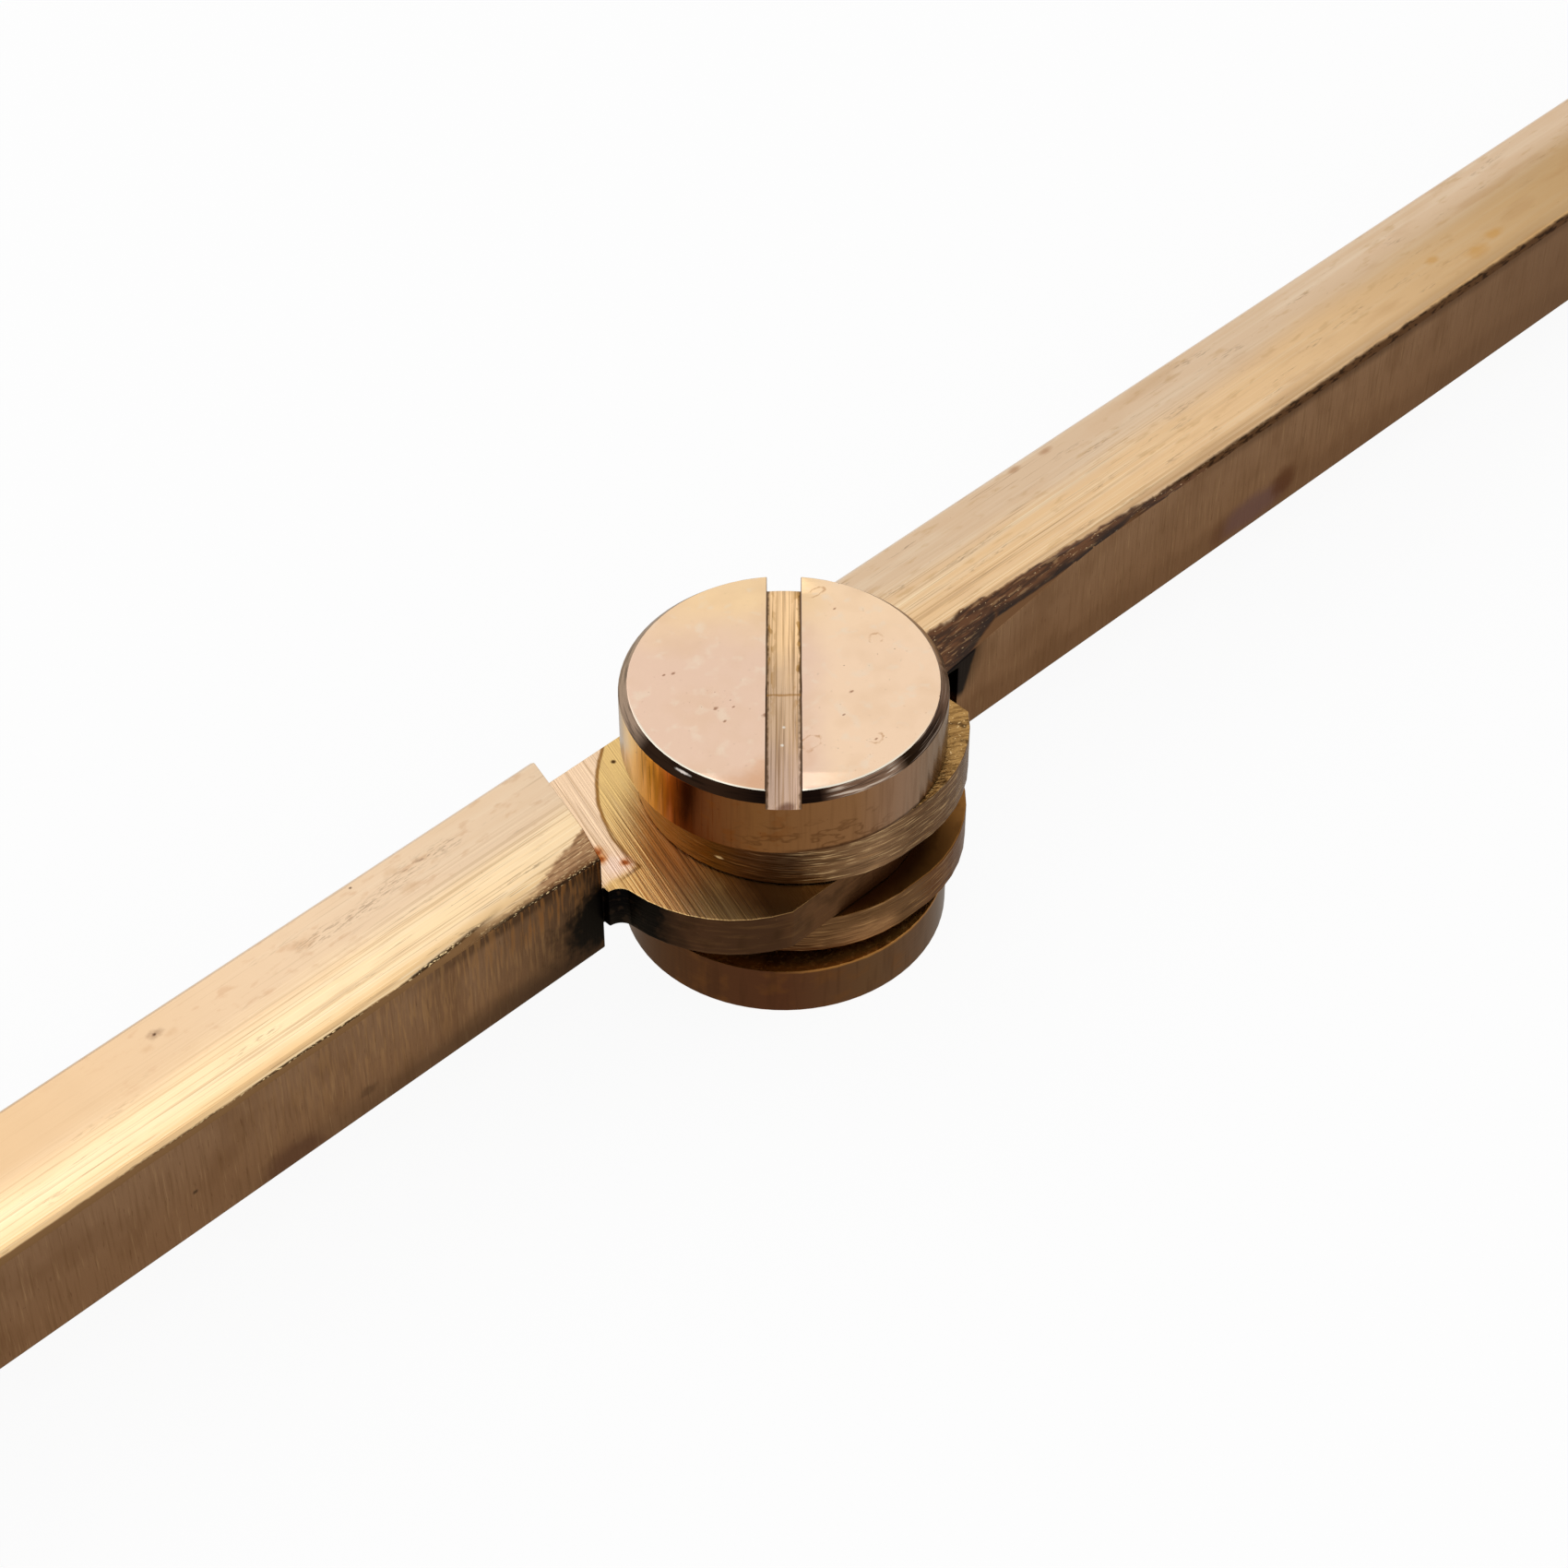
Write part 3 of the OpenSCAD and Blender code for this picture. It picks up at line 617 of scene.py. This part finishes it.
def lug_side():
    """Filed round the curve: coarse level strokes, with painted reflections round it from the camera's
    side: amber at the left, partly dried polish, dark, then bronze at the right.
    """
    f = Finish("curve-filed brass with painted reflections", "#6F523A")
    around = f.around()
    # Painted reflections keyed to the camera's side: amber at the left, dark in the middle, bronze at the
    # right.
    f.colour = f.ramp(around, -180, 180, [(-110, "#C09050"), (-82, "#E4B060"), (-70, "#D48E3A"),
                                          (-60, "#BE7C2C"), (-50, "#A8641A"), (-38, "#885214"),
                                          (-28, "#6A4720"), (-16, "#553822"), (2, "#4C3624"),
                                          (14, "#684A2E"), (35, "#866648"), (52, "#644830"),
                                          (85, "#664A34")])
    # The amber at the left is laid as a dull coat that isn't metal: partly dried polish, partly painted
    # reflection of the lit tongue.
    f.crusted(f.both(f.edge(around, -98, -84, 2, 1.0), f.edge(around, -28, -44, 3, 1.0)), 0.6)
    f.lay(f.grain((2.2, 2.2, 0.10), low=0.5, high=0.66), "#2E1C0E", 0.45)
    marks = f.both(f.grain((1.1, 1.1, 0.06), low=0.56, high=0.68, shift=6.0), f.edge(around, -5, 12))
    f.lay(marks, "#D8B482", 0.5)
    f.lay(f.grain((1.8, 1.8, 0.08), low=0.60, high=0.72, shift=12.0), "#B08658", 0.4)
    # Painted glint: a tiny bright spot.
    f.lay(f.blot((-5.38, -1.96, 7.4), (0.14, 0.14, 0.06), 0.7, 0.4, 0.15), "#FFF0D0", 0.7)
    f.raised(f.grain((1.8, 1.8, 0.09), low=0.3, high=0.7, shift=6.0), 0.018)
    return f.done(0.38, TARNISHED_EDGE)


def lower_lug_side():
    """Filed as the upper lug is: level strokes, with painted reflections round it from the camera's side:
    amber at the left, red-brown at the right.
    """
    f = Finish("curve-filed brass with painted reflections, lower lug", "#66482C")
    around = f.around()
    # Painted reflections keyed to the camera's side, from here to the red-brown further round.
    f.lay(f.edge(around, -22, -46), "#C89254")
    f.lay(f.both(f.edge(around, 15, 28), f.edge(around, 48, 40), f.edge(f.z, 4.2, 3.4, 0.2, 0.5)),
          "#8C6642")
    f.lay(f.edge(around, 52, 66), "#5E3A1E")
    f.lay(f.grain((2.0, 2.0, 0.12), low=0.5, high=0.66), "#3A2210", 0.45)
    f.lay(f.grain((1.4, 1.4, 0.08), low=0.58, high=0.70, shift=6.0), "#B98E5C", 0.45)
    f.raised(f.grain((1.8, 1.8, 0.09), low=0.3, high=0.7, shift=6.0), 0.014)
    return f.done(0.38, TARNISHED_EDGE)


def lug_top():
    """Rough filed rim of the lugs: dull gold; darker on the lower lug's rim, partly smooth where the
    tongue has turned on it and partly painted shade between the lugs.
    """
    f = Finish("rough filed brass", "#B48C54")
    rim = f.edge(f.z, 6.0, 7.0)
    f.lay(f.both(f.grain((0.10, 0.5, 0.5), f.turned(60), low=0.46, high=0.58), rim), "#7E5A30", 0.7)
    f.lay(f.both(f.grain((0.5, 0.5, 0.5), low=0.56, high=0.66, shift=3.0), rim), "#3C2412", 0.7)
    f.lay(f.both(f.grain((0.12, 0.12, 0.12), low=0.66, high=0.70, shift=8.0), rim), "#FFDCA0", 0.6)
    # Darker on the lower rim: partly wear from the tongue, partly painted shade between the lugs.
    worn_and_shaded = f.edge(f.z, 6.0, 5.0)
    f.lay(worn_and_shaded, "#8A5E2E")
    f.lay(f.both(f.edge(f.axis_distance(), 6.4, 5.6, 0.1, 1.0), worn_and_shaded), "#4E3018", 0.9)
    f.lay(f.both(f.grain((0.8, 0.8, 0.8), low=0.5, high=0.7, shift=5.0), worn_and_shaded), "#5E3A1A", 0.5)
    f.raised(f.both(f.grain((0.12, 0.4, 0.3), f.turned(60), low=0.3, high=0.7), rim), 0.03)
    return f.done(0.42, TARNISHED_EDGE)


def head_face():
    """Turned and polished, long ago: pinkish cream, tiny pits, yellow-brown rings of dried drops, and a
    painted highlight along part of its edge.
    """
    f = Finish("polished turned brass with a painted highlight", "#E3C2AA")
    f.lay(f.edge(f.node("Math", {0: f.x, 1: f.y}).outputs[0], 1.5, 7.5, 1.0, 3.0), "#EFCDA0")
    f.lay(f.edge(f.node("Math", {0: f.x, 1: f.y}, operation="SUBTRACT").outputs[0], 0.8, 3.0, 0.6, 3.0),
          "#F2D2B0", 0.75)
    f.lay(f.grain((1.8, 1.8, 1.8), low=0.50, high=0.75), "#D7B18B", 0.28)
    f.lay(f.grain((0.7, 0.7, 0.7), low=0.56, high=0.72, shift=2.0), "#E7D3BB", 0.5)
    drops = (((1.39, 2.02), (0.62, 0.34)), ((4.26, -0.80), (0.36, 0.30)), ((0.28, -4.71), (0.34, 0.26)),
             ((-1.64, -3.18), (0.55, 0.35)), ((4.49, 2.75), (0.42, 0.22)))
    for place, size in drops:
        outer = f.blot((*place, HEAD_TOP), (*size, 1), 0.12, 0.30, 0.30)
        inner = f.blot((*place, HEAD_TOP), (size[0] * 0.76, size[1] * 0.76, 1), 0.14, 0.30, 0.30)
        ring = f.node("Math", {0: outer, 1: inner}, operation="SUBTRACT", use_clamp=True).outputs[0]
        f.lay(f.both(ring, f.grain((0.5, 0.5, 0.5), low=0.44, high=0.60)), "#B07E4C", 0.55)
    pits = (((-2.75, 3.28), 0.09), ((-3.08, 3.46), 0.07), ((-2.94, 0.72), 0.11), ((-3.18, -0.04), 0.08),
            ((-1.83, -0.87), 0.14), ((1.42, -2.26), 0.09), ((0.31, -2.96), 0.07), ((0.25, -4.75), 0.07),
            ((-2.4, 0.3), 0.06), ((4.32, 1.55), 0.07))
    for place, size in pits:
        f.lay(f.blot((*place, HEAD_TOP), (size, size * 0.6, 1), 0.6, 0.35, 0.12), "#8A5C3C", 0.75)
    f.lay(f.blot((-5.0, -3.3, HEAD_TOP), (2.3, 0.8, 1), 0.7, 0.3, 0.8), "#D09868", 0.55)
    f.lay(f.grain((0.16, 0.16, 0.16), low=0.70, high=0.78, detail=3.0, shift=4.0), "#A3774F", 0.7)
    f.lay(f.grain((0.12, 0.12, 0.12), low=0.74, high=0.78, detail=2.0, shift=8.0), "#5F3D25", 0.8)
    # Painted highlight: a pale line on the front half of the face's edge by the bevel.
    around = f.around()
    distance = f.axis_distance()
    rim = f.both(f.edge(distance, HEAD_R - BEVEL - 0.12, HEAD_R - BEVEL - 0.04),
                 f.edge(around, -85, -60), f.edge(around, 75, 40))
    f.lay(rim, "#E7DFCD")
    f.raised(f.grain((1.3, 1.3, 1.3), low=0.3, high=0.7), 0.006)
    f.raised(f.grain((0.4, 0.4, 0.4), low=0.3, high=0.7, shift=2.0), 0.0015)
    return f.done(0.27)


def head_bevel():
    """Bevel painted as it reflected: near black, brushed bright in one place and pale at the back, painted
    reflections round it from the camera's side, with a painted glint.
    """
    f = Finish("bevel brass with painted reflections", "#20150E")
    around = f.around()
    # Painted reflections keyed to the camera's side: pale at the back, near black at the front, brighter
    # on the right.
    f.colour = f.ramp(around, -180, 180, [(-100, "#AE967F"), (-67, "#9F8773"), (-57, "#2D1F16"),
                                          (-25, "#2E1E14"), (-8, "#170E0A"), (13, "#1A100B"),
                                          (20, "#6E5240"), (42, "#7B614E"), (48, "#201409"),
                                          (66, "#2E211A"), (85, "#6A5040"), (120, "#AE967F")])
    # Painted highlight: bright brushed streaks on the right, and lighter streaks just past them.
    f.lay(f.both(f.grain((1.6, 1.6, 0.05), low=0.48, high=0.6), f.edge(around, 14, 20),
                 f.edge(around, 46, 40)), "#D2C0AE", 0.8)
    f.lay(f.grain((1.6, 1.6, 0.05), low=0.5, high=0.66, shift=3.0), "#0C0706", 0.6)
    f.lay(f.both(f.grain((2.2, 2.2, 0.04), low=0.55, high=0.66, shift=7.0), f.edge(around, 40, 52)),
          "#9F8B7B", 0.7)
    # Painted glint: a small bright spot at the left.
    f.lay(f.blot((-6.19, -0.82, HEAD_TOP - 0.13), (0.3, 0.30, 0.035), 0.5, 0.3, 0.15), "#F0E4DA", 0.8)
    return f.done(0.26, TARNISHED_EDGE)


def head_side():
    """Turned side: brown, partly tarnish and partly painted dark reflection; painted reflections round it
    from the camera's side make it greyer at the right, pale grey and amber at the left, the amber partly
    dried polish.
    """
    f = Finish("tarnished turned brass with painted reflections, head", "#6F5239")
    around = f.around()
    # Painted reflections keyed to the camera's side: a pale grey highlight and amber at the left, dark
    # brown in the middle, greyer at the right.
    f.colour = f.ramp(around, -180, 180, [(-115, "#80644A"), (-84, "#C0B2A6"), (-76, "#E0C49C"),
                                          (-64, "#FFCC74"), (-52, "#F8A834"), (-43, "#C0600E"),
                                          (-35, "#5E2C10"), (-10, "#764D28"), (25, "#825C3A"),
                                          (45, "#8A6C55"), (62, "#846C58"), (85, "#7C6652"),
                                          (120, "#80644A")])
    # The amber at the left is laid as a dull coat that isn't metal: partly dried polish, partly painted
    # reflection of the lit tongue.
    f.crusted(f.both(f.edge(around, -80, -68, 2, 1.0), f.edge(around, -34, -44, 2, 1.0)), 0.55)
    f.lay(f.grain((0.20, 0.20, 4.0), low=0.5, high=0.68), "#52331A", 0.22)
    f.lay(f.both(f.grain((0.10, 0.10, 3.0), low=0.58, high=0.68, shift=14.0), f.edge(around, -72, -50),
                 f.edge(around, -10, -25)), "#5A2806", 0.55)
    low = f.edge(f.z, 10.9, 9.8, 0.3, 1.0)
    stains = f.node("Math", {0: f.grain((1.1, 1.1, 0.5), low=0.50, high=0.56, shift=5.0),
                             1: f.grain((1.1, 1.1, 0.5), low=0.55, high=0.60, shift=5.0)},
                    operation="SUBTRACT").outputs[0]
    f.lay(f.both(stains, f.edge(around, -25, -5), f.edge(around, 45, 30), low), "#4A2A10", 0.6)
    blots = f.both(f.grain((0.8, 0.8, 0.5), low=0.56, high=0.66, shift=15.0), f.edge(around, -32, -26),
                   f.edge(around, 10, -10))
    f.lay(blots, "#6E3A0E", 0.45)
    f.lay(f.grain((0.16, 0.16, 0.16), low=0.72, high=0.78, shift=9.0), "#3A1E0E", 0.6)
    f.lay(f.both(f.edge(f.z, 9.10, 8.98, 0.03, 0.5), f.edge(around, -5, 10)), "#3A2212", 0.8)
    f.raised(f.grain((0.2, 0.2, 4.0), low=0.3, high=0.7), 0.002)
    return f.done(0.28, TARNISHED_EDGE)


def slot_floor():
    """Milled slot: fine lines lengthwise, yellow-brown dried polish, darker in the corners as painted
    shade.
    """
    f = Finish("milled stained brass", "#D4B391")
    along = f.turned(SLOT_TURN)
    parts = f.node("SeparateXYZ", {0: along})
    lengthwise, sideways = parts.outputs[0], parts.outputs[1]
    f.lay(f.edge(lengthwise, 0.0, 4.0, 0.6, 1.0), "#F8D09E")
    f.lay(f.edge(lengthwise, -1.0, -5.0, 0.6, 1.0), "#C4A691")
    f.lay(f.grain((7, 0.08, 1), along, low=0.5, high=0.62), "#987040", 0.5)
    f.lay(f.grain((8, 0.06, 1), along, low=0.56, high=0.66, shift=5.0), "#634220", 0.5)
    far_side = f.node("Math", {0: sideways}, operation="ABSOLUTE").outputs[0]
    gold = f.grain((0.7, 0.25, 1), along, low=0.52, high=0.60, shift=2.0)
    f.lay(f.both(gold, f.edge(far_side, 0.2, 0.6), f.edge(lengthwise, -3, 1)), "#A67527", 0.7)
    # Painted shade: darker along the floor's edges by the walls.
    f.lay(f.edge(far_side, SLOT_HALF - 0.12, SLOT_HALF - 0.02, 0.05, 0.3), "#513518", 0.85)
    f.lay(f.blot((-4.35, -4.55, HEAD_TOP), (0.35, 0.25, 3), 0.5, 0.2, 0.4), "#5F3B2A", 0.8)
    for place in ((-1.24, -1.27), (-2.0, -1.95)):
        f.lay(f.blot((*place, HEAD_TOP), (0.06, 0.06, 3), 0.7, 0.3, 0.2), "#E7DFD2", 0.9)
    cross = f.both(f.edge(lengthwise, -0.02, 0.06, 0.05, 0.4), f.edge(lengthwise, 0.18, 0.10, 0.05, 0.4))
    f.lay(cross, "#9E6E2C", 0.7)
    f.raised(f.grain((6, 0.08, 1), along, low=0.3, high=0.7), 0.010)
    return f.done(0.36)


def slot_wall():
    """Milled and never polished: dark brown with dull gold patches."""
    f = Finish("milled dark brass, slot wall", "#5A3A1E")
    f.lay(f.grain((0.3, 0.3, 0.3), low=0.5, high=0.65), "#A8814E", 0.6)
    return f.done(0.4, TARNISHED_EDGE)


def nut_side():
    """Turned and dull: chocolate brown, partly tarnish and partly painted dark reflection, greyer to the
    right as painted reflection keyed to the camera's side.
    """
    f = Finish("tarnished turned brass with painted reflections, nut", "#4A2E1B")
    around = f.around()
    # Painted reflections keyed to the camera's side: greyer towards the right.
    f.colour = f.ramp(around, -180, 180, [(-100, "#644830"), (-60, "#4A2E18"), (0, "#502F1C"),
                                          (30, "#5C4028"), (55, "#5E4430"), (85, "#5E4834"),
                                          (120, "#644830")])
    f.lay(f.grain((1.0, 1.0, 0.8), low=0.52, high=0.7), "#68401C", 0.4)
    f.lay(f.grain((0.25, 0.25, 3.0), low=0.5, high=0.7, shift=2.0), "#3A2212", 0.30)
    f.lay(f.both(f.edge(f.z, NUT_TOP - 0.14, NUT_TOP - 0.06, 0.03, 0.5), f.edge(around, -5, 15)),
          "#B07A3C", 0.6)
    f.raised(f.grain((2.0, 2.0, 0.10), low=0.3, high=0.7), 0.002)
    return f.done(0.34, TARNISHED_EDGE)


def nut_flat():
    """Turned and left dull: orange-brown, stained."""
    f = Finish("dull turned brass", "#B07838")
    f.lay(f.grain((0.9, 0.9, 0.9), low=0.5, high=0.65), "#7A4A1C", 0.7)
    f.lay(f.grain((0.2, 0.2, 0.2), low=0.56, high=0.66, shift=4.0), "#E0A860", 0.5)
    f.raised(f.grain((0.3, 0.3, 0.3), low=0.3, high=0.7), 0.010)
    return f.done(0.38)


def spring_bronze():
    """Rolled spring bronze, dull and oily."""
    f = Finish("rolled spring bronze", "#7A5028")
    f.lay(f.grain((0.8, 0.8, 0.8), low=0.5, high=0.7), "#3E2612", 0.6)
    return f.done(0.40)


def ground_steel():
    """Hardened steel, ground along its length: grey, fine lines, faint brown near the brass."""
    f = Finish("ground hardened steel", "#8E9296")
    f.lay(f.grain((6, 0.08, 0.08), low=0.5, high=0.65), "#C3C7CA", 0.5)
    f.lay(f.grain((5, 0.10, 0.10), low=0.55, high=0.7, shift=3.0), "#55585C", 0.5)
    f.lay(f.grain((1.5, 0.6, 0.6), low=0.6, high=0.75, shift=6.0), "#6E5A48", 0.6)
    f.raised(f.grain((6, 0.08, 0.08), low=0.3, high=0.7), 0.004)
    return f.done(0.28)


def drawn_wire():
    """Brass wire, drawn and filed flush: yellow with small brown stains."""
    f = Finish("drawn brass wire", "#C9A271")
    f.lay(f.grain((0.2, 0.2, 0.2), low=0.5, high=0.7), "#8A6436", 0.6)
    return f.done(0.36)


# Pieces

def build_forked_leg():
    """Right leg: bar, and the two lugs with the sawn slot between them."""
    piece = merged_copy("fork_leg", "forked_leg")
    slice_up(piece, (1, 0, 0), SLICED_FROM, SLICED_TO, LEG_SLICE)
    round_edges(piece, LEG_ROUNDING)
    wear_crease(piece, FORK_INNER)
    # No rounded corner may hang below the upper lug, where the tongue turns
    for v in piece.data.vertices:
        if v.co.x < (SLOT_ROOT - 0.1) * MM and (TONGUE_TOP - 0.1) * MM < v.co.z < UPPER_LUG_UNDER * MM:
            v.co.z = UPPER_LUG_UNDER * MM

    def choose(middle, normal):
        if normal.z > 0.5 and middle.z > LEG_TOP + 0.05:
            return "lug_top"
        on_bar = middle.x > BAR_FROM_X or middle.y > BAR_FROM_Y
        if normal.z > 0.4 and on_bar and middle.z > TONGUE_TOP - 0.1:
            return "top"
        if middle.x < SLOT_ROOT + 0.05 and abs(middle.z - LOWER_LUG_TOP) < 0.03 and normal.z > 0.5:
            return "lug_top"
        if middle.x < LUGS_TO_X and middle.y < LUGS_TO_Y:
            return "lug_side" if middle.z > TONGUE_TOP else "lower_lug_side"
        return "side"

    clad(piece, {"top": fork_leg_top(), "side": fork_leg_side(), "lug_side": lug_side(),
                 "lower_lug_side": lower_lug_side(), "lug_top": lug_top()}, choose)
    settle(piece)
    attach(piece, "forked_leg")
    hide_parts("fork_leg")


def build_tongued_leg():
    """Left leg: bar, and the tongue with its round neck."""
    piece = merged_copy("tongue_leg", "tongued_leg")
    slice_up(piece, (-1, 0, 0), SLICED_FROM, SLICED_TO, LEG_SLICE)
    round_edges(piece, LEG_ROUNDING)
    wear_crease(piece, TONGUE_INNER)

    def choose(middle, normal):
        if normal.z > 0.4 and middle.z > 7.5:
            return "top"
        if normal.z > 0.5 and middle.x > -TONGUE_TO_X and abs(middle.z - TONGUE_TOP) < 0.1:
            return "tongue_top"
        if middle.x > -SHOULDER - 0.01 and middle.z < TONGUE_TOP and middle.y < 5.5:
            return "wall"
        return "side"

    clad(piece, {"top": tongue_leg_top(), "side": tongue_leg_side(), "tongue_top": tongue_top(),
                 "wall": tongue_wall()}, choose)
    settle(piece)
    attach(piece, "tongued_leg")
    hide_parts("tongue_leg")


def build_screw():
    """Slotted screw. Its head is cut into thin slices across the slot, which keeps its faces small."""
    piece = merged_copy("pivot_screw", "slotted_screw")
    turn = math.radians(SLOT_TURN)
    slice_up(piece, (math.cos(turn), math.sin(turn), 0), -HEAD_R + 0.1, HEAD_R - 0.1, HEAD_SLICE)
    round_edges(piece, SMALL_ROUNDING)

    def in_slot(spot):
        """Whether a place in millimetres is within the slot's width."""
        return abs(spot.y * math.cos(turn) - spot.x * math.sin(turn)) < SLOT_HALF + 0.08

    def choose(middle, normal):
        radius = math.hypot(middle.x, middle.y)
        if middle.z > HEAD_TOP - 1.3 and in_slot(middle) and radius < HEAD_R - 0.02:
            if middle.z < HEAD_TOP - 0.5 and normal.z > 0.5:
                return "floor"
            if normal.z < 0.5:
                return "wall"
        if normal.z > 0.93 and middle.z > HEAD_TOP - 0.1:
            return "face"
        if normal.z > 0.30 and middle.z > HEAD_TOP - BEVEL - 0.1:
            return "bevel"
        return "side"

    clad(piece, {"face": head_face(), "bevel": head_bevel(), "side": head_side(),
                 "floor": slot_floor(), "wall": slot_wall()}, choose)
    settle(piece)
    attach(piece, "screw")
    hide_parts("pivot_screw")


def build_nut():
    """Round nut under the lower lug."""
    piece = merged_copy("barrel_nut", "round_nut")
    round_edges(piece, NUT_ROUNDING)
    clad(piece, {"side": nut_side(), "flat": nut_flat()},
         lambda middle, normal: "flat" if abs(normal.z) > 0.5 else "side")
    settle(piece)
    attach(piece, "forked_leg")
    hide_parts("barrel_nut")


def build_plain(node, name, material, body):
    """A small piece of one finish: its CAD shape with its edges rounded."""
    piece = merged_copy(node, name)
    round_edges(piece, SMALL_ROUNDING)
    piece.data.materials.append(material)
    settle(piece)
    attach(piece, body)
    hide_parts(node)


# Stage

def build_world():
    """White where the camera or a reflection sees it, soft grey light for the floor."""
    world = bpy.data.worlds.new("white sweep")
    bpy.context.scene.world = world
    world.use_nodes = True
    tree = world.node_tree
    tree.nodes.clear()
    strength = add_node(tree, "MapRange", {0: seen_directly(tree), 3: WORLD_LIGHT, 4: 1.0})
    light = add_node(tree, "Background", {"Color": linear("#FFFFFF"), "Strength": strength})
    add_node(tree, "OutputWorld", {0: light})


def seen_directly(tree):
    """1 for a ray from the camera or one that it sees in a reflection, else 0."""
    path = add_node(tree, "LightPath")
    total = path.outputs["Is Camera Ray"]
    for name in ("Is Glossy Ray", "Is Transmission Ray"):
        total = add_node(tree, "Math", {0: total, 1: path.outputs[name]}, use_clamp=True).outputs[0]
    return total


def build_floor():
    """Plain white floor that keeps a faint shadow."""
    bpy.ops.mesh.primitive_plane_add(size=4.0, location=(0, 0, 0))
    floor = bpy.context.object
    floor.name = "floor"
    material = bpy.data.materials.new("white card")
    material.use_nodes = True
    tree = material.node_tree
    tree.nodes.clear()
    glow = add_node(tree, "Emission")
    card = add_node(tree, "BsdfDiffuse", {0: linear("#F4F4F4")})
    share = add_node(tree, "Math", {0: seen_directly(tree), 1: FLOOR_WHITE}, operation="MULTIPLY")
    mixed = add_node(tree, "MixShader", {0: share, 1: card, 2: glow})
    add_node(tree, "OutputMaterial", {0: mixed})
    floor.data.materials.append(material)


def build_lamp(name, direction, distance, size, glow):
    """A square soft lamp that faces the hinge, its sizes in metres. A glow of 1 is white."""
    lamp = bpy.data.lights.new(name, "AREA")
    lamp.shape = "SQUARE"
    lamp.size = size
    lamp.energy = glow * math.pi * size * size
    holder = bpy.data.objects.new(name, lamp)
    bpy.context.scene.collection.objects.link(holder)
    towards = Vector(direction).normalized()
    holder.location = towards * distance
    holder.rotation_mode = "QUATERNION"
    holder.rotation_quaternion = towards.to_track_quat("Z", "Y")


def build_camera():
    """The photograph's camera."""
    camera = bpy.data.cameras.new("camera")
    camera.lens = LENS
    camera.sensor_width = SENSOR
    camera.clip_start = 0.01
    camera.clip_end = 20
    holder = bpy.data.objects.new("camera", camera)
    bpy.context.scene.collection.objects.link(holder)
    around, up = math.radians(VIEW_AZIMUTH), math.radians(VIEW_ELEVATION)
    back = Vector((math.sin(around) * math.cos(up), -math.cos(around) * math.cos(up), math.sin(up)))
    holder.location = Vector(VIEW_FROM) * MM
    holder.rotation_mode = "QUATERNION"
    holder.rotation_quaternion = back.to_track_quat("Z", "Y")
    bpy.context.scene.camera = holder


build_camera()
build_world()
build_floor()
build_lamp("sky softbox", direction=(0.1, 0.62, 0.78), distance=0.7, size=0.35, glow=0.8)
build_lamp("side softbox", direction=(0.8, -0.3, 0.6), distance=0.8, size=0.3, glow=0.5)

build_forked_leg()
build_tongued_leg()
build_screw()
build_nut()
build_plain("friction_washer", "hinge_washer", spring_bronze(), "forked_leg")
steel = ground_steel()
build_plain("fork_point", "forked_leg_point", steel, "forked_leg")
build_plain("tongue_point", "tongued_leg_point", steel, "tongued_leg")
wire = drawn_wire()
build_plain("fork_point_pin", "forked_leg_pin", wire, "forked_leg")
build_plain("tongue_point_pin", "tongued_leg_pin", wire, "tongued_leg")

bpy.context.scene.view_settings.view_transform = "Standard"
